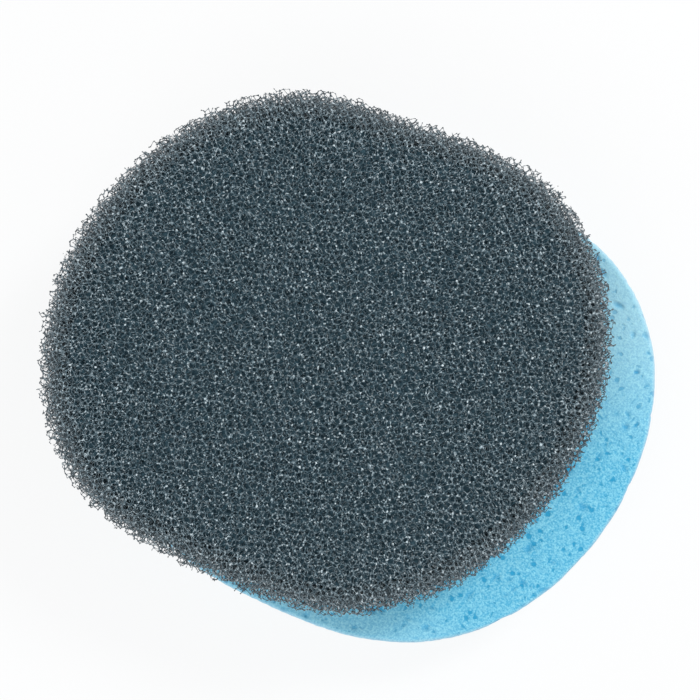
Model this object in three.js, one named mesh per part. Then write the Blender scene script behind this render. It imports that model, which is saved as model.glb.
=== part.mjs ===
// Two loose foam pads that filter the water of a canister filter: a coarse open-cell
// pad lies on a fine-cell pad of the same outline and has slid a little to one side.
//
// Millimetres, +Z up. The origin is on the surface that the pads rest on, midway between
// the centres of the two pads. X runs along the longer way of the outline.

import * as THREE from 'three';

// ---- Outline that both pads are die-cut to ----
const padLength = 145;      // along X, between the two round ends
const padWidth = 133;       // along Y, between the two flatter sides
const sideFlatness = 2.7;   // 2 gives an ellipse, more makes the Y sides flatter
const lean = 0.08;          // how far the flatter sides slide along X per mm of Y
const outlineSteps = 96;    // straight steps round the outline

// ---- Thickness of each pad ----
const fineThickness = 25;
const coarseThickness = 25;

// ---- How the coarse pad lies on the fine pad ----
const slipAlong = 19.5;     // between the centres of the pads, along X
const slipAcross = 4.8;     // between the centres of the pads, along Y
const restGap = 0.3;        // between the two touching faces

// ---- Foam colours ----
const coarseFoam = { color: 0x3b4850, roughness: 0.85, metalness: 0 };
const fineFoam = { color: 0x74c4e6, roughness: 0.9, metalness: 0 };

// An ellipse whose Y sides are flattened by the power, then leaned over like a
// slanted letter.
function padOutline() {
  const points = [];
  for (let step = 0; step < outlineSteps; step += 1) {
    const turn = (2 * Math.PI * step) / outlineSteps;
    const reach = Math.sign(Math.cos(turn)) * Math.abs(Math.cos(turn)) ** (2 / sideFlatness);
    const y = (padWidth / 2) * Math.sin(turn);
    points.push(new THREE.Vector2((padLength / 2) * reach + lean * y, y));
  }
  return new THREE.Shape(points);
}

// One pad: the outline cut straight down through a slab of foam.
function foamPad(name, thickness, foam) {
  const solid = new THREE.ExtrudeGeometry(padOutline(), {
    depth: thickness,
    bevelEnabled: false,
  });
  const pad = new THREE.Mesh(solid, new THREE.MeshStandardMaterial(foam));
  pad.name = name;
  return pad;
}

function finePad() {
  const pad = foamPad('fine_pad', fineThickness, fineFoam);
  pad.position.set(slipAlong / 2, -slipAcross / 2, 0);
  return pad;
}

function coarsePad() {
  const pad = foamPad('coarse_pad', coarseThickness, coarseFoam);
  pad.position.set(-slipAlong / 2, slipAcross / 2, fineThickness + restGap);
  return pad;
}

const group = new THREE.Group();
group.add(finePad(), coarsePad());

export default group;
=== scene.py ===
import itertools
import math

import bpy
import numpy as np
from mathutils import Euler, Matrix, Vector, kdtree, noise


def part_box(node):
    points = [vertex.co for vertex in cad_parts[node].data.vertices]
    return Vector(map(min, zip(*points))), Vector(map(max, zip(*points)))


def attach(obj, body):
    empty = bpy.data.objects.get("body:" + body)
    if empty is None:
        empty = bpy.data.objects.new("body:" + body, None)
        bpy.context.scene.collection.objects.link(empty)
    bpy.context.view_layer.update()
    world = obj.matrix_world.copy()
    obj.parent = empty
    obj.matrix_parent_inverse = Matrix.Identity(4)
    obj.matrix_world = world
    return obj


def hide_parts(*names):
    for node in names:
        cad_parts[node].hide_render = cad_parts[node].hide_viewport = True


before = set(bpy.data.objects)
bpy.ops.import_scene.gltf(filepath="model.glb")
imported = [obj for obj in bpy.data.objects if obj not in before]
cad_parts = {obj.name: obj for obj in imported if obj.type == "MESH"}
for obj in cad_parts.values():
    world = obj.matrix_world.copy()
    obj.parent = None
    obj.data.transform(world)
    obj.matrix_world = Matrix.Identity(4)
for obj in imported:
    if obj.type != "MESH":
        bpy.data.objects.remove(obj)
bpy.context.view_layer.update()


# ---------------------------------------------------------------------------
# Fine pad. Light-blue polyurethane foam with cells well under a millimetre, so
# its cut faces look like a fine grain with a few burst, larger pores. It is
# stamped out of slab foam with a blade, which leaves the rim a little rounded.
# ---------------------------------------------------------------------------
FINE_LOW, FINE_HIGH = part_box("fine_pad")
SIDE_FLATNESS = 2.7  # 2 would be an ellipse
LEAN = 0.08  # how far the outline leans over, against its width
OUTLINE_POINTS = 720
FITTING_ROUNDS = 6
OUTLINE_LIMIT = 0.2  # farther out than any point of the outline
HALVINGS = 30
TOP_RIM = 0.0017
UNDER_RIM = 0.0012
TOP_STEPS = 252
WALL_ROWS = 16
CROWDING = 1.1  # how much closer together the face's points lie towards the rim


def half_sizes(low, high):
    """Half the pad's length and width before it leans, from the corners of its box."""
    half_width = (high.y - low.y) / 2
    turn = np.linspace(0, 2 * np.pi, OUTLINE_POINTS, endpoint=False)
    reach = np.sign(np.cos(turn)) * np.abs(np.cos(turn)) ** (2 / SIDE_FLATNESS)
    slant = LEAN * half_width * np.sin(turn)
    half_length = (high.x - low.x) / 2
    for _ in range(FITTING_ROUNDS):
        half_length -= (half_length * reach + slant).max() - (high.x - low.x) / 2
    return half_length, half_width


HALF_LENGTH, HALF_WIDTH = half_sizes(FINE_LOW, FINE_HIGH)


def outline_reach(bearing):
    """How far the outline is from the pad's centre, in each direction."""
    near, far = np.zeros_like(bearing), np.full_like(bearing, OUTLINE_LIMIT)
    for _ in range(HALVINGS):
        middle = (near + far) / 2
        x, y = middle * np.cos(bearing), middle * np.sin(bearing)
        along = np.abs((x - LEAN * y) / HALF_LENGTH) ** SIDE_FLATNESS
        outside = along + (y / HALF_WIDTH) ** 2 > 1
        far, near = np.where(outside, middle, far), np.where(outside, near, middle)
    return near


BEARINGS = np.linspace(-np.pi, np.pi, 2 * OUTLINE_POINTS + 1)
REACHES = outline_reach(BEARINGS)


def mesh_object(name, points, faces, uv=None):
    """A smooth-shaded object from its points and groups of faces with equally many corners."""
    sizes = np.concatenate([np.full(len(group), group.shape[1]) for group in faces])
    corners = np.concatenate([group.ravel() for group in faces])
    mesh = bpy.data.meshes.new(name)
    mesh.vertices.add(len(points))
    mesh.vertices.foreach_set("co", np.ascontiguousarray(points, np.float32).ravel())
    mesh.loops.add(len(corners))
    mesh.loops.foreach_set("vertex_index", corners.astype(np.int32))
    mesh.polygons.add(len(sizes))
    starts = np.concatenate([[0], np.cumsum(sizes)[:-1]]).astype(np.int32)
    mesh.polygons.foreach_set("loop_start", starts)
    mesh.update(calc_edges=True)
    mesh.polygons.foreach_set("use_smooth", np.ones(len(sizes), bool))
    if uv is not None:
        layer = mesh.uv_layers.new(name="OFBake")
        layer.uv.foreach_set("vector", uv[corners].astype(np.float32).ravel())
    piece = bpy.data.objects.new(name, mesh)
    bpy.context.collection.objects.link(piece)
    return piece


def slab_face(steps):
    """A round face's points as distance out, 0 to 1, and bearing; its rim and its quads."""
    side = np.sin(np.linspace(-1, 1, steps + 1) * CROWDING) / math.sin(CROWDING)
    u, v = np.meshgrid(side, side, indexing="ij")
    x, y = (u * np.sqrt(1 - v * v / 2)).ravel(), (v * np.sqrt(1 - u * u / 2)).ravel()
    grid = np.arange((steps + 1) ** 2).reshape(steps + 1, steps + 1)
    rim = np.concatenate([grid[0, :-1], grid[:-1, -1], grid[-1, :0:-1], grid[:0:-1, 0]])
    quads = np.stack([grid[:-1, :-1], grid[1:, :-1], grid[1:, 1:], grid[:-1, 1:]], -1)
    return np.minimum(np.hypot(x, y), 1), np.arctan2(y, x), rim, quads.reshape(-1, 4)


def slab_skin(steps, rows):
    """A slab's closed skin: its quads and triangles, and each point's place on it.

    A place is how far out from the middle it is, 0 to 1, its bearing, and how far
    down the wall it is, 0 on the top face and 1 on the underside, whose grid is
    half as fine.
    """
    out, bearing, rim, flat = slab_face(steps)
    under_out, under_bearing, under_rim, under_flat = slab_face(steps // 2)
    top, around = len(out), len(rim)
    first = top + len(under_out)
    rings = [rim] + [first + row * around + np.arange(around) for row in range(rows - 1)]
    quads = [flat, under_flat[:, ::-1] + top]
    for upper, lower in zip(rings[:-1], rings[1:]):
        quads.append(np.stack([upper, np.roll(upper, -1), np.roll(lower, -1), lower], -1))
    start, middle, stop = rings[-1][::2], rings[-1][1::2], np.roll(rings[-1][::2], -1)
    foot, next_foot = under_rim + top, np.roll(under_rim, -1) + top
    triangles = np.concatenate([np.stack([start, middle, foot], -1),
                                np.stack([middle, next_foot, foot], -1),
                                np.stack([middle, stop, next_foot], -1)])
    down = np.concatenate([np.zeros(top), np.ones(first - top),
                           np.repeat(np.arange(1, rows) / rows, around)])
    wall_bearing = np.tile(bearing[rim], rows - 1)
    out = np.concatenate([out, under_out, np.ones(around * (rows - 1))])
    bearing = np.concatenate([bearing, under_bearing, wall_bearing])
    return [np.concatenate(quads), triangles], out, bearing, down


def skin_normals(points, groups):
    """Each point's outward direction, as the mean over its faces, and its share of the area."""
    normal = np.zeros_like(points)
    for faces in groups:
        corners = faces.shape[1]
        across = np.cross(points[faces[:, 2]] - points[faces[:, 0]],
                          points[faces[:, -1]] - points[faces[:, 1]])
        for axis in range(3):
            normal[:, axis] += np.bincount(faces.ravel(), np.repeat(across[:, axis], corners),
                                           len(points))
    area = np.linalg.norm(normal, axis=1)
    return normal / area[:, None], area


def ripples(points, length, count, seed):
    """A smooth random unevenness between about -1 and 1, with waves about so long."""
    rng = np.random.default_rng(seed)
    way = rng.normal(size=(count, 3))
    way *= 2 * np.pi / length / np.linalg.norm(way, axis=1)[:, None]
    way *= rng.uniform(0.6, 1.5, (count, 1))
    phase = rng.uniform(0, 2 * np.pi, count)
    total = np.zeros(len(points))
    for direction, start in zip(way, phase):
        total += np.sin(points @ direction + start)
    return total / math.sqrt(count)


FINE_WAIST = 0.0006  # how far the blade draws the wall in at mid-height
SIDE_INSET = 0.0003  # how far the wall stays inside its box, so that no wave leaves it
WAVE_HEIGHT, WAVE_LENGTH = 0.00007, 0.012
RIPPLE_HEIGHT, RIPPLE_LENGTH = 0.00004, 0.0026
WAVES = 14  # how many waves of each kind run across one another
SIDE_BAND = 12  # the waves reach in over one part in so many of the face
USUAL_REACH = 0.07


def stamped_slab(low, high, steps, rows):
    """The fine pad's shape before its pores: rounded rims and a wall that is not quite even."""
    groups, out, bearing, down = slab_skin(steps, rows)
    reach = np.interp(bearing, BEARINGS, REACHES)
    thick = high.z - low.z
    inset = (1 - out) * reach
    drop = TOP_RIM - np.sqrt(np.maximum(TOP_RIM**2 - np.maximum(TOP_RIM - inset, 0) ** 2, 0))
    lift = UNDER_RIM - np.sqrt(np.maximum(UNDER_RIM**2 - np.maximum(UNDER_RIM - inset, 0) ** 2, 0))
    wall_top, wall_foot = thick - TOP_RIM, UNDER_RIM
    z = wall_top + (wall_foot - wall_top) * down
    z = np.where(down == 0, thick - drop, np.where(down == 1, lift, z))
    hollow = FINE_WAIST * np.sin(np.pi * np.clip((z - wall_foot) / (wall_top - wall_foot), 0, 1))
    radius = out * reach - hollow * (out >= 1)
    points = np.stack([radius * np.cos(bearing), radius * np.sin(bearing), z], 1)
    middle = np.array([(low.x + high.x) / 2, (low.y + high.y) / 2, low.z])
    uneven = (WAVE_HEIGHT * ripples(points, WAVE_LENGTH, WAVES, 2)
              + RIPPLE_HEIGHT * ripples(points, RIPPLE_LENGTH, WAVES, 3))
    below_rim = np.minimum(wall_top - z, z - wall_foot)
    from_rim = np.where(down * (1 - down) > 0, np.maximum(below_rim, 0), inset)
    side_share = np.clip(out * SIDE_BAND - (SIDE_BAND - 1), 0, 1)
    points[:, :2] *= 1 + (uneven - SIDE_INSET)[:, None] * side_share[:, None] / USUAL_REACH
    return points + middle, groups, inset, from_rim


fine_points, fine_faces, fine_inset, fine_from_rim = stamped_slab(
    FINE_LOW, FINE_HIGH, TOP_STEPS, WALL_ROWS)
fine_normals, fine_areas = skin_normals(fine_points, fine_faces)


PORES = 1100
PORE_SIZE = 0.00055
PORE_SPREAD = 0.35
PORE_STRETCH = 2.2
FAINTEST_PORE_SHADE = 0.45
PORE_LIP = 1.15  # how far a pore's slope reaches past its size
PORE_ROUNDING = 0.8
PORE_DEPTH = 0.8  # against its size


def burst_pores(points, normals, areas, count, seed):
    """How deep each point lies in the larger pores, and 0 to 1 for how much painted shade it gets
    in one.
    """
    rng = np.random.default_rng(seed)
    tree = kdtree.KDTree(len(points))
    for index, point in enumerate(points):
        tree.insert(point, index)
    tree.balance()
    depth, share = np.zeros(len(points)), np.zeros(len(points))
    for centre in rng.choice(len(points), count, replace=False, p=areas / areas.sum()):
        across = rng.lognormal(math.log(PORE_SIZE), PORE_SPREAD)
        stretch = rng.uniform(1, PORE_STRETCH)
        # Painted shade: how dark this pore is painted.
        painted_shade = rng.uniform(FAINTEST_PORE_SHADE, 1)
        side = np.cross(normals[centre], rng.normal(size=3))
        side /= np.linalg.norm(side)
        reach = across * stretch * PORE_LIP
        near = [found[1] for found in tree.find_range(points[centre], reach)]
        away = points[near] - points[centre]
        along = away @ side
        level = np.sqrt(((away**2).sum(1) - along**2) + (along / stretch) ** 2) / across
        pit = np.clip(PORE_LIP - level, 0, 1) ** PORE_ROUNDING
        depth[near] = np.maximum(depth[near], pit * across * PORE_DEPTH)
        share[near] = np.maximum(share[near], pit * painted_shade)
    return depth, share


RIM_CREST = 0.0006  # where the rim bends most, which a deep pore would break
RIM_CALM = 0.0012
RIM_PORE_DEPTH = 0.15
GRAIN_SIZE, GRAIN_DEPTH = 0.0011, 0.00010
pore_depth, pore_shade_share = burst_pores(fine_points, fine_normals, fine_areas, PORES, 5)
pore_depth *= np.clip(np.abs(fine_inset - RIM_CREST) / RIM_CALM, RIM_PORE_DEPTH, 1)
grain = np.array([noise.voronoi(Vector(point) / GRAIN_SIZE)[0][0] for point in fine_points])
fine_points = fine_points - fine_normals * (pore_depth + GRAIN_DEPTH * grain)[:, None]
fine_points = np.clip(fine_points, list(FINE_LOW), list(FINE_HIGH))
fine_pad = mesh_object("fine_pad_foam", fine_points, fine_faces)


def give_values(piece, name, values):
    """Writes a value for each point of a piece, for its material to read."""
    layer = piece.data.attributes.new(name, "FLOAT", "POINT")
    layer.data.foreach_set("value", np.asarray(values, np.float32))


RIM_FADE = 0.0014
# Painted shade: the pores are painted a deeper blue.
give_values(fine_pad, "pore_shade", pore_shade_share)
# Painted highlight: how much paler the rim is painted, where its rounded edge catches the light.
give_values(fine_pad, "rim", np.clip(1 - fine_from_rim / RIM_FADE, 0, 1) ** 1.5)

# Painted light: sides painted paler, one towards the key light and one where the coarse pad's
# shadow falls, to lift it. Bearing in degrees, where it starts, where it is full, how much.
PAINTED_LIGHT_SIDES = ((101, -0.001, 0.036, 1.0), (276, 0.050, 0.064, 0.45))


def painted_light_share(points, middle):
    """How much painted light makes each point paler, 0 to 1: most on one side, a little on another.
    """
    painted_light = np.zeros(len(points))
    for bearing, start, full, most in PAINTED_LIGHT_SIDES:
        side = np.array([math.cos(math.radians(bearing)), math.sin(math.radians(bearing))])
        toward = (points - middle)[:, :2] @ side
        painted_light = np.maximum(painted_light, most * np.clip((toward - start) / (full - start), 0, 1))
    return painted_light


# Painted light: how much paler each point is painted, where the light falls and to lift a shadow.
give_values(fine_pad, "painted_light", painted_light_share(fine_points, np.array(FINE_LOW + FINE_HIGH) / 2))


def foam_specks():
    """A shader group for the tiny light and dark specks that all foam shows, 0 to 1."""
    group = bpy.data.node_groups.new("foam_specks", "ShaderNodeTree")
    for name, kind in (("Place", "Vector"), ("Squash", "Vector"), ("Scale", "Float"),
                       ("Detail", "Float")):
        group.interface.new_socket(name, in_out="INPUT", socket_type="NodeSocket" + kind)
    group.interface.new_socket("Specks", in_out="OUTPUT", socket_type="NodeSocketFloat")
    given = group.nodes.new("NodeGroupInput")
    result = group.nodes.new("NodeGroupOutput")
    squashed = group.nodes.new("ShaderNodeMapping")
    texture = group.nodes.new("ShaderNodeTexNoise")
    group.links.new(given.outputs["Place"], squashed.inputs["Vector"])
    group.links.new(given.outputs["Squash"], squashed.inputs["Scale"])
    group.links.new(squashed.outputs["Vector"], texture.inputs["Vector"])
    group.links.new(given.outputs["Scale"], texture.inputs["Scale"])
    group.links.new(given.outputs["Detail"], texture.inputs["Detail"])
    group.links.new(texture.outputs["Fac"], result.inputs["Specks"])
    return group


FOAM_SPECKS = foam_specks()


FOAM_SPECULAR = 0.3


def new_material(name):
    """A foam that is ready for its nodes, as the material, its node tree and its shader."""
    material = bpy.data.materials.new(name)
    material.use_nodes = True
    shader = material.node_tree.nodes["Principled BSDF"]
    shader.inputs["Specular IOR Level"].default_value = FOAM_SPECULAR
    return material, material.node_tree, shader


def specks(tree, scale, detail, squash=(1, 1, 1)):
    """The foam's specks in a material, so many to the metre."""
    place = tree.nodes.new("ShaderNodeTexCoord")
    group = tree.nodes.new("ShaderNodeGroup")
    group.node_tree = FOAM_SPECKS
    group.inputs["Squash"].default_value = squash
    group.inputs["Scale"].default_value = scale
    group.inputs["Detail"].default_value = detail
    tree.links.new(place.outputs["Object"], group.inputs["Place"])
    return group.outputs["Specks"]


def tones(tree, value, stops):
    """The colour for a value, between the colours of the stops on either side of it."""
    ramp = tree.nodes.new("ShaderNodeValToRGB")
    elements = ramp.color_ramp.elements
    elements[0].position, elements[1].position = stops[0][0], stops[-1][0]
    for position, _ in stops[1:-1]:
        elements.new(position)
    for element, (_, color) in zip(elements, stops):
        element.color = (*color, 1)
    tree.links.new(value, ramp.inputs["Fac"])
    return ramp.outputs["Color"]


def combine(tree, operation, first, second, clamped=False):
    """One sum on two values, either of which may be a plain number."""
    step = tree.nodes.new("ShaderNodeMath")
    step.operation = operation
    step.use_clamp = clamped
    for socket, value in zip(step.inputs, (first, second)):
        if isinstance(value, bpy.types.NodeSocket):
            tree.links.new(value, socket)
        else:
            socket.default_value = value
    return step.outputs["Value"]


def stretched(tree, value, times, plus):
    """A value times a number, and another number added to it."""
    return combine(tree, "ADD", combine(tree, "MULTIPLY", value, times), plus)


def blend(tree, share, under, over):
    """A colour laid over another one by a changing share."""
    mixed = tree.nodes.new("ShaderNodeMix")
    mixed.data_type = "RGBA"
    mixed.inputs["B"].default_value = (*over, 1)
    tree.links.new(share, mixed.inputs["Factor"])
    tree.links.new(under, mixed.inputs["A"])
    return mixed.outputs["Result"]


def reading(tree, name, strength):
    """A value that the piece holds for each of its points, times a strength."""
    value = tree.nodes.new("ShaderNodeAttribute")
    value.attribute_name = name
    return combine(tree, "MULTIPLY", value.outputs["Fac"], strength)


BUBBLES_A_METRE = 480
LARGEST_BUBBLE = 0.60  # against the distance between two bubbles
BUBBLE_RARITY = 1.2
BUBBLE_EDGE = 6


def burst_bubbles(tree, raggedness):
    """A mask of small burst bubbles of many sizes, with uneven edges."""
    place = tree.nodes.new("ShaderNodeTexCoord")
    bubbles = tree.nodes.new("ShaderNodeTexVoronoi")
    bubbles.inputs["Scale"].default_value = BUBBLES_A_METRE
    tree.links.new(place.outputs["Object"], bubbles.inputs["Vector"])
    luck = tree.nodes.new("ShaderNodeSeparateColor")
    tree.links.new(bubbles.outputs["Color"], luck.inputs["Color"])
    chance = combine(tree, "POWER", luck.outputs["Red"], BUBBLE_RARITY)
    size = combine(tree, "MULTIPLY", chance, LARGEST_BUBBLE)
    uneven = combine(tree, "MULTIPLY", combine(tree, "SUBTRACT", raggedness, 0.40), 1.1)
    away = combine(tree, "ADD", bubbles.outputs["Distance"], uneven)
    inside = combine(tree, "SUBTRACT", size, away)
    return combine(tree, "MULTIPLY", inside, BUBBLE_EDGE, clamped=True)


BLUE_SPECKS_A_METRE = 2100
PATCHES_A_METRE = 800
BLUE_BUMP = 0.0002
GRAIN_BLUES = ((0.38, (0.092, 0.495, 0.765)), (0.62, (0.330, 0.785, 0.955)))
SHADE_BLUE = (0.060, 0.420, 0.690)
# Painted shade: the deeper blues inside the bubbles and pores.
BUBBLE_SHADE_BLUE = (0.020, 0.400, 0.700)
PORE_SHADE_BLUE = (0.020, 0.345, 0.620)
# Painted light: the paler blue of the lit side and of the lifted shadow.
PAINTED_LIGHT_BLUE = (0.62, 0.91, 0.985)
# Painted highlight along the rim.
RIM_HIGHLIGHT_WHITE = (0.80, 0.86, 0.90)


def fine_foam():
    """Matt light-blue foam: a grain of tiny cells, deeper blue in its pores as painted shade, a
    paler rim as a painted highlight, and paler on two sides as painted light.
    """
    material, tree, shader = new_material("fine_foam")
    grain = specks(tree, BLUE_SPECKS_A_METRE, 4)
    patches = specks(tree, PATCHES_A_METRE, 3)
    burst = burst_bubbles(tree, patches)
    color = tones(tree, grain, GRAIN_BLUES)
    shade = combine(tree, "MULTIPLY", combine(tree, "SUBTRACT", patches, 0.35), 0.95, clamped=True)
    color = blend(tree, shade, color, SHADE_BLUE)
    # Painted shade: the burst bubbles are painted a deeper blue.
    color = blend(tree, combine(tree, "MULTIPLY", burst, 0.85), color, PORE_SHADE_BLUE)
    # Painted light: paler blue on the side towards the key light and where the coarse pad's shadow
    # falls.
    color = blend(tree, reading(tree, "painted_light", 0.50), color, PAINTED_LIGHT_BLUE)
    # Painted shade in the burst bubbles again, over the painted light.
    color = blend(tree, combine(tree, "MULTIPLY", burst, 0.30), color, BUBBLE_SHADE_BLUE)
    # Painted shade in the larger pores.
    color = blend(tree, reading(tree, "pore_shade", 0.90), color, PORE_SHADE_BLUE)
    # Painted highlight: the rim painted paler.
    color = blend(tree, reading(tree, "rim", 0.42), color, RIM_HIGHLIGHT_WHITE)
    tree.links.new(color, shader.inputs["Base Color"])
    tree.links.new(stretched(tree, grain, 0.2, 0.75), shader.inputs["Roughness"])
    bump = tree.nodes.new("ShaderNodeBump")
    bump.inputs["Distance"].default_value = BLUE_BUMP
    bump.inputs["Strength"].default_value = 0.6
    tree.links.new(combine(tree, "SUBTRACT", grain, burst), bump.inputs["Height"])
    tree.links.new(bump.outputs["Normal"], shader.inputs["Normal"])
    return material


fine_pad.data.materials.append(fine_foam())
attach(fine_pad, "fine_pad")
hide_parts("fine_pad")


# ---------------------------------------------------------------------------
# Struts of the coarse pad. Charcoal reticulated foam: the skins of its cells are
# burnt out and the struts between them are left, so water runs straight through.
# It is stamped out like the fine pad, but it tears, and loose struts stand out.
# ---------------------------------------------------------------------------
COARSE_LOW, COARSE_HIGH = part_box("coarse_pad")
COARSE_MIDDLE = np.array(COARSE_LOW + COARSE_HIGH) / 2
CELL = 0.00210  # the distance between two bubbles along the foam's lattice
REPEATS = 12  # cells along each side of the cube that repeats
LOOSENESS = 0.45  # how far a bubble strays from the lattice
CORNER_TRIOS = np.array(list(itertools.combinations(range(4), 3)))
NEIGHBOURS = 8  # how far away a neighbour lies at most, squared, in half cells
TOGETHER = 12  # the same for two neighbours that share a joint
LARGEST_GAP = 3.4  # the same for a joint and its bubbles


def open_cell_network(lattice, repeats, looseness, seed):
    """The joints and struts of a random foam that repeats in a cube.

    Bubbles sit near the points of a body-centred lattice. A joint is a point as far
    from four bubbles and nearer to no other, and a strut runs between two joints
    that share three bubbles. Gives the joints, the way to each joint's four bubbles,
    and for both ends of each strut its joint and its trio of bubbles; then how many
    periods on the strut's far end lies, and the period.
    """
    rng = np.random.default_rng(seed)
    side = 2 * repeats
    places = np.indices((side, side, side)).reshape(3, -1).T
    places = places[(places % 2 == places[:, :1] % 2).all(1)]
    count = len(places)
    shift = np.zeros((side, side, side, 3))
    shift[tuple(places.T)] = rng.uniform(-looseness, looseness, (count, 3))
    number = np.zeros((side, side, side), np.int64)
    number[tuple(places.T)] = np.arange(count)
    near = np.array([step for step in itertools.product(range(-2, 3), repeat=3)
                     if 0 < sum(n * n for n in step) <= NEIGHBOURS
                     and len({n % 2 for n in step}) == 1])
    own = shift[tuple(places.T)]
    reach = np.stack([step + shift[tuple(((places + step) % side).T)] - own for step in near], 1)
    names = np.stack([number[tuple(((places + step) % side).T)] for step in near], 1)
    ahead = [i for i, step in enumerate(near.tolist()) if tuple(step) > (0, 0, 0)]
    joints, bubbles, toward = [], [], []
    for a, b, c in itertools.combinations(ahead, 3):
        if max(((near[i] - near[j]) ** 2).sum() for i, j in ((a, b), (b, c), (a, c))) > TOGETHER:
            continue
        first, second, third = reach[:, a], reach[:, b], reach[:, c]
        across = np.cross(second, third)
        volume = (first * across).sum(1)
        sound = np.abs(volume) > 1e-3
        centre = ((first ** 2).sum(1)[:, None] * across
                  + (second ** 2).sum(1)[:, None] * np.cross(third, first)
                  + (third ** 2).sum(1)[:, None] * np.cross(first, second))
        centre /= 2 * np.where(sound, volume, 1)[:, None]
        away = (centre ** 2).sum(1)
        kept = np.flatnonzero(sound & (away < LARGEST_GAP))
        others = ((reach[kept] - centre[kept][:, None]) ** 2).sum(2)
        kept = kept[(others >= away[kept][:, None] - 1e-7).all(1)]
        middle = centre[kept]
        joints.append(places[kept] + own[kept] + middle)
        bubbles.append(np.column_stack([kept, names[kept][:, [a, b, c]]]))
        way = np.stack([-middle, first[kept] - middle, second[kept] - middle,
                        third[kept] - middle], 1)
        toward.append(way / np.sqrt(away[kept])[:, None, None])
    joints, bubbles, toward = (np.concatenate(part) for part in (joints, bubbles, toward))
    order = bubbles.argsort(1)
    bubbles = np.take_along_axis(bubbles, order, 1)
    toward = np.take_along_axis(toward, order[:, :, None], 1)
    shared = np.concatenate([(bubbles[:, i] * count + bubbles[:, j]) * count + bubbles[:, k]
                             for i, j, k in CORNER_TRIOS])
    order = np.argsort(shared, kind="stable")
    twin = np.flatnonzero(shared[order][1:] == shared[order][:-1])
    ends = np.stack([order[twin], order[twin + 1]], 1)
    ends, trios = ends % len(joints), ends // len(joints)
    apart = joints[ends[:, 1]] - joints[ends[:, 0]]
    periods = np.round(-apart / side).astype(int)
    trio = np.take_along_axis(bubbles[ends[:, 0]], CORNER_TRIOS[trios[:, 0]], 1)
    windows = window_rings(joints, ends, trio, places + own, side)
    return joints * lattice / 2, toward, ends, trios, periods, side * lattice / 2, windows


def window_rings(joints, ends, trio, bubbles, side):
    """The windows between bubbles: for each number of corners, the joints round each window.

    Each corner is a joint and how many periods on it lies from the window's first one.
    """
    pairs = np.concatenate([trio[:, [0, 1]], trio[:, [0, 2]], trio[:, [1, 2]]])
    window = np.repeat(pairs[:, 0] * len(bubbles) + pairs[:, 1], 2)
    corner = np.tile(ends.ravel(), 3)
    window, corner = np.divmod(np.unique(window * len(joints) + corner), len(joints))
    starts = np.flatnonzero(np.diff(window, prepend=-1))
    count = np.diff(starts, append=len(window))
    group = np.repeat(np.arange(len(starts)), count)
    first = joints[corner[starts]]
    spoke = (joints[corner] - first[group] + side / 2) % side - side / 2
    wraps = np.round((first[group] + spoke - joints[corner]) / side).astype(int)
    middle = np.stack([np.add.reduceat(part, starts) for part in spoke.T], 1) / count[:, None]
    low, high = np.divmod(window[starts], len(bubbles))
    axis = (bubbles[high] - bubbles[low] + side / 2) % side - side / 2
    across = -middle
    over = np.cross(axis, across) / np.linalg.norm(axis, axis=1)[:, None]
    spoke -= middle[group]
    angle = np.arctan2((spoke * over[group]).sum(1), (spoke * across[group]).sum(1))
    order = np.lexsort((angle, group))
    rings = []
    for corners in range(4, 9):
        rows = starts[count == corners][:, None] + np.arange(corners)
        rings.append((corner[order][rows], wraps[order][rows]))
    return rings


# Dents in the wall: bearing in degrees, depth in metres, width in degrees.
HOLLOWS = ((99, 0.0017, 12), (62, -0.00125, 12), (138, 0.0004, 20), (211, 0.0006, 9),
           (240, -0.0005, 16), (297, -0.0008, 9))
COARSE_WAIST = 0.0010
RAGGED_INSET = 0.0002
RAGGED_HEIGHT, RAGGED_LENGTH = 0.0005, 0.004
SLOPE_STEP = 0.01


def hollow_depth(bearing):
    """How far the pad's wall is dented at each bearing."""
    depth = np.zeros_like(bearing)
    for where, deep, wide in HOLLOWS:
        off = (np.degrees(bearing) - where + 180) % 360 - 180
        depth += deep * np.exp(-(off / wide) ** 2)
    return depth


def pad_depth(points):
    """How deep points lie under the coarse pad's top face, wall and underside."""
    x, y, z = (points - COARSE_MIDDLE).T
    half = (COARSE_HIGH.z - COARSE_LOW.z) / 2
    away, bearing = np.hypot(x, y), np.arctan2(y, x)
    reach = np.interp(bearing, BEARINGS, REACHES)
    slope = (np.interp(bearing + SLOPE_STEP, BEARINGS, REACHES) - reach) / SLOPE_STEP
    waist = COARSE_WAIST * (1 - np.clip(z / half, -1, 1) ** 2)
    ragged = RAGGED_INSET + RAGGED_HEIGHT * ripples(points, RAGGED_LENGTH, 16, 21)
    ragged += hollow_depth(bearing)
    wall = (reach - away) * reach / np.hypot(reach, slope) - waist - ragged
    return half - z, wall, half + z


# How deep the struts go in from each face. They go deeper under the rim of the top.
TOP_DEPTH = 0.0034
RIM_DEPTH = 0.0074
SIDE_DEPTH = 0.0029
UNDER_DEPTH = 0.0017
RIM_DROP = 0.009
FOAM_TURN = (0.61, 0.37, 0.23)  # turns the lattice, so that no face follows it
TILE_MARGIN = 0.9
DRIFT_HEIGHT, DRIFT_LENGTH = 0.00045, 0.030


def side_depth(below):
    """How deep the struts go in from the wall, so far below the top face."""
    return SIDE_DEPTH + (RIM_DEPTH - SIDE_DEPTH) * np.clip(1.4 - below / RIM_DROP, 0, 1)


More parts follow.
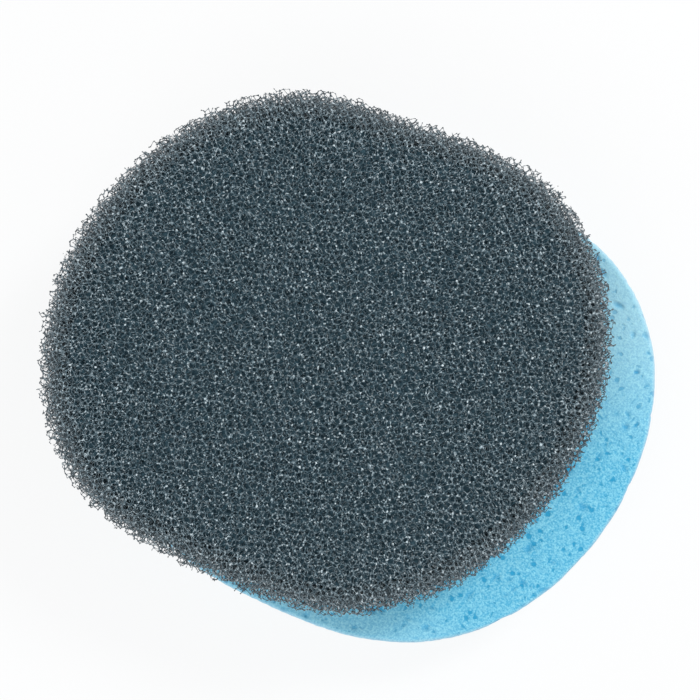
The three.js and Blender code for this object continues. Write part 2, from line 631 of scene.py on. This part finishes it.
def pad_foam():
    """The foam that fills the pad: its network, its cubes, and every joint's place and depth."""
    joints, toward, ends, trios, periods, period, windows = open_cell_network(
        CELL, REPEATS, LOOSENESS, 7)
    turn = np.array(Euler(FOAM_TURN).to_matrix())
    size = np.array(COARSE_HIGH - COARSE_LOW)
    span = math.ceil(np.linalg.norm(size) / 2 / period) + 1
    tiles = {}
    for step in itertools.product(range(-span, span), repeat=3):
        centre = turn @ ((np.array(step) + 0.5) * period)
        if (np.abs(centre) < size / 2 + period * TILE_MARGIN).all():
            tiles[step] = len(tiles)
    places = np.concatenate([(joints + np.array(step) * period) @ turn.T for step in tiles])
    places += COARSE_MIDDLE
    drift = np.stack([ripples(places, DRIFT_LENGTH, 5, seed) for seed in (31, 32, 33)], 1)
    places += DRIFT_HEIGHT * drift
    top, wall, under = pad_depth(places)
    depth = np.minimum(np.minimum(top, under), wall)
    outer = (top < TOP_DEPTH) | (under < UNDER_DEPTH) | (wall < side_depth(top))
    return {"toward": toward @ turn.T, "ends": ends, "trios": trios, "periods": periods,
            "windows": windows, "tiles": tiles, "place": places, "top": top, "wall": wall,
            "under": under, "depth": depth, "inside": depth > 0, "outer": outer & (depth > 0)}


def across_tiles(tiles, periods):
    """For each cube of foam, the cubes that its neighbours so many periods on are in, or -1."""
    steps, which = np.unique(periods.reshape(-1, 3), axis=0, return_inverse=True)
    for step, tile in tiles.items():
        beyond = np.array([tiles.get(tuple(place), -1) for place in np.array(step) + steps])
        yield tile, beyond[which.ravel()].reshape(periods.shape[:-1])


SHAPED_DEPTH = 0.0023  # how deep the struts still have slim waists


def pad_struts(foam):
    """The joints and struts of the pad's outer cells, with those its faces cut through."""
    count, ends = len(foam["toward"]), foam["ends"]
    outer, inside = foam["outer"], foam["inside"]
    found = []
    for tile, other in across_tiles(foam["tiles"], foam["periods"]):
        start = tile * count + ends[:, 0]
        stop = other * count + ends[:, 1]
        kept = (other >= 0) & ((outer[start] & (outer[stop] | ~inside[stop]))
                               | (~inside[start] & outer[stop]))
        found.append(np.column_stack([start, stop, foam["trios"]])[kept])
    found = np.concatenate(found)
    backward = ~inside[found[:, 0]]
    found[backward] = found[backward][:, [1, 0, 3, 2]]
    used, index = np.unique(found[:, :2], return_inverse=True)
    index = index.reshape(-1, 2)
    shaped = (foam["top"] < SHAPED_DEPTH) | (foam["wall"] < SHAPED_DEPTH)
    network = {name: foam[name][used] for name in ("place", "inside", "depth", "wall", "under")}
    return network | {"toward": foam["toward"][used % count], "shaped": shaped[used],
                      "near": index[:, 0], "far": index[:, 1],
                      "near_trio": found[:, 2], "far_trio": found[:, 3]}


def looks_inward(points, faces, outward):
    """Whether each three-cornered face has its front on the inner side."""
    a, b, c = (points[faces[:, i]] for i in range(3))
    return (np.cross(b - a, c - a) * outward).sum(1) < 0


def flat_map(points):
    """A map of the points for a bake, as seen from above."""
    flat = points[:, :2]
    return (flat - flat.min(0)) / np.ptp(flat, axis=0)


SLIM = 0.36  # how slim a strut is at its waist, against its joints
# Painted light reaches so far in from the wall.
EDGE_LIGHT_DEPTH = 0.0060
FRINGE_DEPTH = 0.0018


def strut_piece(name, net, chosen, radius, tear):
    """One closed piece of the network: three-sided struts that share their joints' corners."""
    near, far = net["near"][chosen], net["far"][chosen]
    near_trio, far_trio = net["near_trio"][chosen], net["far_trio"][chosen]
    cut = ~net["inside"][far]
    used, index = np.unique(np.concatenate([near, far[~cut]]), return_inverse=True)
    corner = net["place"][used][:, None] + radius[used][:, None, None] * net["toward"][used]
    first = index[:len(near)][:, None] * 4 + CORNER_TRIOS[near_trio]
    second = np.zeros_like(first)
    second[~cut] = index[len(near):][:, None] * 4 + CORNER_TRIOS[far_trio[~cut]]
    stub = np.flatnonzero(cut)
    inner, outer = net["depth"][near[stub]], net["depth"][far[stub]]
    share = (inner / (inner - outer) * tear[chosen][stub])[:, None]
    middle = net["place"][near[stub]] * (1 - share) + net["place"][far[stub]] * share
    way = np.take_along_axis(net["toward"][far[stub]], CORNER_TRIOS[far_trio[stub]][:, :, None], 1)
    torn = middle[:, None] + SLIM * radius[near[stub]][:, None, None] * way
    points = np.concatenate([corner.reshape(-1, 3), torn.reshape(-1, 3)])
    second[stub] = len(used) * 4 + np.arange(len(stub) * 3).reshape(-1, 3)
    wrong = looks_inward(points, first, -net["toward"][near, 3 - near_trio])
    first[wrong], second[wrong] = first[wrong][:, [0, 2, 1]], second[wrong][:, [0, 2, 1]]
    whole = np.flatnonzero(net["shaped"][near] & ~cut)
    both = (points[first[whole]] + points[second[whole]]) / 2
    axis = both.mean(1, keepdims=True)
    waist = len(points) + np.arange(len(whole) * 3).reshape(-1, 3)
    points = np.concatenate([points, (axis + SLIM * (both - axis)).reshape(-1, 3)])
    start = np.concatenate([first, waist])
    stop = np.concatenate([second, second[whole]])
    stop[whole] = waist
    quads = np.concatenate([np.stack([start[:, i], start[:, j], stop[:, j], stop[:, i]], 1)
                            for i, j in ((0, 1), (1, 2), (2, 0))])
    taken = np.zeros((len(used), 4), bool)
    taken[index[:len(near)], near_trio] = True
    taken[index[len(near):], far_trio[~cut]] = True
    bare, trio = np.nonzero(~taken)
    cap = bare[:, None] * 4 + CORNER_TRIOS[trio]
    wrong = looks_inward(points, cap, -net["toward"][used[bare], 3 - trio])
    cap[wrong] = cap[wrong][:, [0, 2, 1]]
    triangles = np.concatenate([cap, second[stub]])
    piece = mesh_object(name, points, [quads, triangles], flat_map(points))
    bare = np.zeros(3 * (len(stub) + len(whole)))
    give_values(piece, "knot_glint", np.concatenate([np.repeat(net["bright"][used], 4), bare]))
    owner = np.concatenate([used.repeat(4), near[stub].repeat(3), near[whole].repeat(3)])
    wall = np.maximum(net["wall"][owner], 0)
    # Painted light: struts painted paler towards the wall, where light gets in.
    give_values(piece, "edge", np.exp(-wall / EDGE_LIGHT_DEPTH) * np.clip(wall / FRINGE_DEPTH, 0.1, 1))
    # Painted shade: the outermost struts, seen against the light, are painted darker.
    give_values(piece, "fringe_shade", np.exp(-wall / FRINGE_DEPTH))
    return piece


SPECKS_A_METRE = 2100
FLAT = (1, 1, 0.05)  # specks drawn out along the height, so that they colour whole struts
# The two palest tones are painted glints.
CHARCOALS_AND_GLINTS = ((0.40, (0.042, 0.086, 0.113)), (0.57, (0.132, 0.194, 0.227)),
             (0.70, (0.42, 0.515, 0.56)), (0.86, (0.80, 0.89, 0.93)))
EDGE_LIGHT_GREY = (0.31, 0.31, 0.32)
# Painted shade of the backlit outermost struts.
FRINGE_SHADE_GREY = (0.082, 0.086, 0.094)


def charcoal_foam():
    """Smooth charcoal struts, a little glossy: painted glints on some pale joints, painted light
    paler towards the wall, and painted shade on the dull fringe.
    """
    material, tree, shader = new_material("charcoal_foam")
    drift = specks(tree, SPECKS_A_METRE, 2, FLAT)
    # Painted glint: some joints are painted pale.
    value = combine(tree, "ADD", reading(tree, "knot_glint", 0.34), drift)
    # Painted light: paler towards the wall.
    value = combine(tree, "ADD", reading(tree, "edge", 0.14), value)
    color = tones(tree, value, CHARCOALS_AND_GLINTS)
    color = blend(tree, reading(tree, "edge", 0.20), color, EDGE_LIGHT_GREY)
    # Painted shade on the outermost struts.
    color = blend(tree, reading(tree, "fringe_shade", 0.80), color, FRINGE_SHADE_GREY)
    tree.links.new(color, shader.inputs["Base Color"])
    tree.links.new(stretched(tree, drift, 0.16, 0.12), shader.inputs["Roughness"])
    return material


CHARCOAL = charcoal_foam()
STRUTS_A_PIECE = 20000
STRUT = 0.00024  # how far a usual joint's corners are from its middle
STRUT_SPREAD = 0.16
EDGE_STRUT = 0.72  # how thick a joint at the wall is against one farther in
SLIMMER_WITHIN = 0.004
# Painted glints: a few joints are painted pale and swell a little.
GLINT_RARITY = 8
GLINT_INSET = 0.0015
GLINT_SWELL = 0.55
UNDER_REACH = 0.00022  # how far a joint may stand out below, short of the fine pad
SHORTEST_STUB = 0.3
LOST_SHARE = 0.35
foam = pad_foam()
network = pad_struts(foam)
rng = np.random.default_rng(11)
radius = STRUT * np.clip(rng.normal(1, STRUT_SPREAD, len(network["place"])), 0.65, 1.5)
radius *= EDGE_STRUT + (1 - EDGE_STRUT) * np.clip(network["wall"] / SLIMMER_WITHIN, 0, 1)
network["bright"] = rng.uniform(size=len(radius)) ** GLINT_RARITY
network["bright"] *= np.clip(network["wall"] / GLINT_INSET, 0, 1)
radius *= 1 + GLINT_SWELL * network["bright"]
radius = np.minimum(radius, network["under"] + UNDER_REACH)
tear = rng.uniform(SHORTEST_STUB, 1, len(network["near"]))
halfway = (network["place"][network["near"]] + network["place"][network["far"]]) / 2
spread = halfway - COARSE_MIDDLE
lost = ~network["inside"][network["far"]] & (rng.uniform(size=len(tear)) < LOST_SHARE)
order = np.argsort(np.arctan2(spread[:, 1], spread[:, 0]))
order = order[~lost[order]]
strut_groups = math.ceil(len(order) / STRUTS_A_PIECE)
for group, chosen in enumerate(np.array_split(order, strut_groups)):
    piece = strut_piece(f"coarse_pad_struts_{group + 1}", network, chosen, radius, tear)
    piece.data.materials.append(CHARCOAL)
    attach(piece, "coarse_pad")
    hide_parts("coarse_pad")


# ---------------------------------------------------------------------------
# Cell skins of the coarse pad. Burning out the foam's skins leaves a thin film
# across some of the windows between cells, whole or burst. Each hangs on the
# struts around it and is the same charcoal foam.
# ---------------------------------------------------------------------------
SKIN_DEPTH = 0.0021
SKIN_INSET = 0.003
SKIN_SHARE = 0.42
SKIN_SPAN = 0.00056  # the widest window that keeps its skin, from middle to corner


def skinned_windows(foam):
    """The corners of the windows under the pad's faces that keep their skins."""
    near_face = (foam["top"] < SKIN_DEPTH) | (foam["under"] < SKIN_DEPTH)
    near_face &= foam["outer"] & (foam["wall"] > SKIN_INSET)
    rng = np.random.default_rng(51)
    found = []
    for corner, wraps in foam["windows"]:
        for _, other in across_tiles(foam["tiles"], wraps):
            ring = other * len(foam["toward"]) + corner
            kept = (other >= 0).all(1) & near_face[ring].all(1)
            kept &= rng.uniform(size=len(ring)) < SKIN_SHARE
            rings = foam["place"][ring[kept]]
            spans = np.linalg.norm(rings - rings.mean(1, keepdims=True), axis=2)
            found.append(rings[spans.mean(1) < SKIN_SPAN])
    return found


SKIN_THICKNESS = 0.00003
SWELL = (0.00002, 0.00009)


def closed_panes(ring, rng):
    """Whole cell skins: thin closed lenses, each swollen a little towards one bubble."""
    number, corners = ring.shape[:2]
    middle = ring.mean(1)
    axis = np.cross(ring[:, 1] - ring[:, 0], ring[:, 2] - ring[:, 0])
    axis *= rng.choice([-1, 1], number)[:, None] / np.linalg.norm(axis, axis=1)[:, None]
    swell = rng.uniform(*SWELL, number)[:, None]
    points = np.concatenate([ring, (middle + swell * axis)[:, None],
                             (middle + (swell - SKIN_THICKNESS) * axis)[:, None]], 1)
    here = np.arange(corners)
    after = (here + 1) % corners
    faces = np.concatenate([np.stack([here, after, 0 * here + corners], 1),
                            np.stack([after, here, 0 * here + corners + 1], 1)])
    faces = faces[None] + np.arange(number)[:, None, None] * (corners + 2)
    return points.reshape(-1, 3), faces.reshape(-1, 3)


HOLE = (0.25, 0.8)  # how wide a burst skin's hole is against its window
SAG = 0.0001


def burst_panes(ring, rng):
    """Burst cell skins: each a closed thin web round its window, with a hole in it."""
    number, corners = ring.shape[:2]
    middle = ring.mean(1)
    axis = np.cross(ring[:, 1] - ring[:, 0], ring[:, 2] - ring[:, 0])
    axis /= np.linalg.norm(axis, axis=1)[:, None]
    middle += rng.uniform(-SAG, SAG, number)[:, None] * axis
    hole = rng.uniform(*HOLE, (number, 1, 1)) * rng.uniform(0.8, 1.2, (number, corners, 1))
    lip = middle[:, None] + hole * (ring - middle[:, None])
    edge = SKIN_THICKNESS / 2 * axis[:, None]
    points = np.concatenate([ring, lip + edge, lip - edge], 1).reshape(-1, 3)
    here = np.arange(corners)
    after = (here + 1) % corners
    faces = np.concatenate([
        np.stack([here, after, after + corners, here + corners], 1),
        np.stack([after, here, here + 2 * corners, after + 2 * corners], 1),
        np.stack([here + corners, after + corners, after + 2 * corners, here + 2 * corners], 1)])
    faces = faces[None] + np.arange(number)[:, None, None] * (3 * corners)
    return points, faces.reshape(-1, 4)


CLOSED = 0.85  # the share of the skins that are whole


def skin_piece(name, rings, rng):
    """Leftover cell skins, some whole and some burst, as one flat-shaded piece."""
    points, faces, count = [], {3: [], 4: []}, 0
    for ring in rings:
        whole = rng.uniform(size=len(ring)) < CLOSED
        for some, make in ((ring[whole], closed_panes), (ring[~whole], burst_panes)):
            place, face = make(some, rng)
            points.append(place)
            faces[face.shape[1]].append(face + count)
            count += len(place)
    points = np.concatenate(points)
    faces = [np.concatenate(group) for group in faces.values()]
    piece = mesh_object(name, points, faces, flat_map(points))
    piece.data.polygons.foreach_set("use_smooth", np.zeros(len(piece.data.polygons), bool))
    return piece


SKIN_SPECKS_A_METRE = 1300
# The palest tone is a painted glint.
SKIN_GREYS_AND_GLINTS = ((0.36, (0.080, 0.125, 0.150)), (0.52, (0.24, 0.31, 0.345)),
              (0.68, (0.74, 0.86, 0.92)))


def foam_skin():
    """The thin grey film of a cell's window, smoother and paler than the struts; its palest tone is
    a painted glint.
    """
    material, tree, shader = new_material("foam_skin")
    drift = specks(tree, SKIN_SPECKS_A_METRE, 2, FLAT)
    tree.links.new(tones(tree, drift, SKIN_GREYS_AND_GLINTS), shader.inputs["Base Color"])
    tree.links.new(stretched(tree, drift, 0.2, 0.24), shader.inputs["Roughness"])
    return material


rng = np.random.default_rng(61)
SKIN = foam_skin()
SKIN_GROUPS = 6
windows = skinned_windows(foam)
sectors = []
for ring in windows:
    spread = ring.mean(1) - COARSE_MIDDLE
    turn = np.arctan2(spread[:, 1], spread[:, 0]) / (2 * np.pi) + 0.5
    sectors.append((turn * SKIN_GROUPS).astype(int) % SKIN_GROUPS)
for group in range(SKIN_GROUPS):
    rings = [ring[sector == group] for ring, sector in zip(windows, sectors)]
    skins = skin_piece(f"coarse_pad_skins_{group + 1}", rings, rng)
    skins.data.materials.append(SKIN)
    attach(skins, "coarse_pad")
    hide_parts("coarse_pad")


# ---------------------------------------------------------------------------
# Core of the coarse pad. Farther in, struts lie behind struts until nothing
# shows between them. One dull dark body of the same foam stands for them, just
# inside the outer cells, and is held by the struts around it.
# ---------------------------------------------------------------------------
CORE_STEPS, CORE_ROWS = 90, 14
CORE_OVERLAP = 0.0004  # how far the core comes up between the innermost struts
CORE_WAVE_HEIGHT, CORE_WAVE_LENGTH = 0.0003, 0.005


def inner_foam(low, high):
    """The dense middle of the pad, which stands for the cells too deep to make out."""
    groups, out, bearing, down = slab_skin(CORE_STEPS, CORE_ROWS)
    reach = np.interp(bearing, BEARINGS, REACHES)
    thick = high.z - low.z
    top, foot = thick - TOP_DEPTH + CORE_OVERLAP, UNDER_DEPTH - CORE_OVERLAP
    z = top + (foot - top) * down
    waist = COARSE_WAIST * (1 - (2 * z / thick - 1) ** 2)
    radius = out * (reach - side_depth(thick - z) - waist - hollow_depth(bearing))
    points = np.stack([radius * np.cos(bearing), radius * np.sin(bearing), z], 1)
    middle = np.array([(low.x + high.x) / 2, (low.y + high.y) / 2, low.z])
    outward, _ = skin_normals(points, groups)
    waves = CORE_WAVE_HEIGHT * ripples(points, CORE_WAVE_LENGTH, 12, 41)
    points += outward * waves[:, None]
    return points + middle, groups


DEEP_CELLS_A_METRE = 560
# Painted shade: the core is painted dark for the shade deep in the foam.
DEEP_SHADE_GREYS = ((0.2, (0.022, 0.056, 0.078)), (0.8, (0.064, 0.130, 0.168)))


def foam_depth():
    """The dull dark blue-grey that shows between the outer struts, painted dark as the shade of the
    cells deeper in.
    """
    material, tree, shader = new_material("foam_depth")
    place = tree.nodes.new("ShaderNodeTexCoord")
    cells = tree.nodes.new("ShaderNodeTexVoronoi")
    cells.inputs["Scale"].default_value = DEEP_CELLS_A_METRE
    tree.links.new(place.outputs["Object"], cells.inputs["Vector"])
    away = cells.outputs["Distance"]
    tree.links.new(tones(tree, away, DEEP_SHADE_GREYS), shader.inputs["Base Color"])
    tree.links.new(stretched(tree, away, 0.2, 0.8), shader.inputs["Roughness"])
    return material


points, faces = inner_foam(COARSE_LOW, COARSE_HIGH)
core = mesh_object("coarse_pad_core", points, faces)
core.data.materials.append(foam_depth())
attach(core, "coarse_pad")
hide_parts("coarse_pad")


# ---------------------------------------------------------------------------
# Table, light and camera. A white table under a small softbox at the upper
# right, a wide one at the lower left and an even pale surround, with the camera
# straight above.
# ---------------------------------------------------------------------------
TABLE_REACH = 2.0
TABLE_CORNERS = ((-1, -1, 0), (1, -1, 0), (1, 1, 0), (-1, 1, 0))
TABLE_WHITE = (0.94, 0.94, 0.94, 1)
TABLE_GLOW = 0.85
table = mesh_object("table", np.array(TABLE_CORNERS) * TABLE_REACH, [np.arange(4)[None]])


def background_rays(tree):
    """1 for rays that show the plain background: the camera's, and those off or through gloss."""
    path = tree.nodes.new("ShaderNodeLightPath")
    seen = combine(tree, "MAXIMUM", path.outputs["Is Camera Ray"], path.outputs["Is Glossy Ray"])
    return combine(tree, "MAXIMUM", seen, path.outputs["Is Transmission Ray"])


white = bpy.data.materials.new("table_white")
white.use_nodes = True
nodes, links = white.node_tree.nodes, white.node_tree.links
nodes["Principled BSDF"].inputs["Base Color"].default_value = TABLE_WHITE
nodes["Principled BSDF"].inputs["Roughness"].default_value = 0.9
glow = nodes.new("ShaderNodeEmission")
mix = nodes.new("ShaderNodeMixShader")
share = combine(white.node_tree, "MULTIPLY", background_rays(white.node_tree), TABLE_GLOW)
links.new(share, mix.inputs["Fac"])
links.new(nodes["Principled BSDF"].outputs["BSDF"], mix.inputs[1])
links.new(glow.outputs["Emission"], mix.inputs[2])
links.new(mix.outputs["Shader"], nodes["Material Output"].inputs["Surface"])
table.data.materials.append(white)

SURROUND = (0.92, 0.97, 1, 1)
SURROUND_STRENGTH = 0.59
world = bpy.data.worlds.new("studio")
bpy.context.scene.world = world
world.use_nodes = True
nodes, links = world.node_tree.nodes, world.node_tree.links
nodes["Background"].inputs["Color"].default_value = SURROUND
nodes["Background"].inputs["Strength"].default_value = SURROUND_STRENGTH
backdrop = nodes.new("ShaderNodeBackground")
backdrop.inputs["Color"].default_value = (1, 1, 1, 1)
mix = nodes.new("ShaderNodeMixShader")
links.new(background_rays(world.node_tree), mix.inputs["Fac"])
links.new(nodes["Background"].outputs["Background"], mix.inputs[1])
links.new(backdrop.outputs["Background"], mix.inputs[2])
links.new(mix.outputs["Shader"], nodes["World Output"].inputs["Surface"])


def softbox(name, place, aim, width, watts):
    """A square softbox turned towards the object."""
    light = bpy.data.lights.new(name, "AREA")
    light.shape, light.size, light.energy = "SQUARE", width, watts
    lamp = bpy.data.objects.new(name, light)
    lamp.location = place
    lamp.rotation_euler = (Vector(aim) - Vector(place)).to_track_quat("-Z", "Y").to_euler()
    bpy.context.collection.objects.link(lamp)


VIEW_ROLL = math.radians(24.6)
VIEW_DISTANCE = 0.4
VIEW_WIDTH = 0.182
SENSOR_WIDTH = 36
AIM = Vector((-0.0041, 0.0053, COARSE_HIGH.z))
# The softboxes' places to the right of, upward in and out of the camera's view.
KEY_PLACE = (0.42, 0.38, 0.62)
FILL_PLACE = (-0.25, -0.35, 0.6)
right = Vector((math.cos(VIEW_ROLL), math.sin(VIEW_ROLL), 0))
up = Vector((-math.sin(VIEW_ROLL), math.cos(VIEW_ROLL), 0))
out = Vector((0, 0, 1))
for name, (aside, above, away), width, watts in (("key", KEY_PLACE, 0.2, 2.8),
                                                 ("fill", FILL_PLACE, 0.5, 1.5)):
    softbox(name, AIM + right * aside + up * above + out * away, AIM, width, watts)

camera_data = bpy.data.cameras.new("camera")
camera_data.sensor_width = SENSOR_WIDTH
camera_data.lens = SENSOR_WIDTH * VIEW_DISTANCE / VIEW_WIDTH
camera = bpy.data.objects.new("camera", camera_data)
bpy.context.collection.objects.link(camera)
camera.location = AIM + Vector((0, 0, VIEW_DISTANCE))
camera.rotation_euler = (0, 0, VIEW_ROLL)
bpy.context.scene.camera = camera
bpy.context.scene.view_settings.view_transform = "Standard"
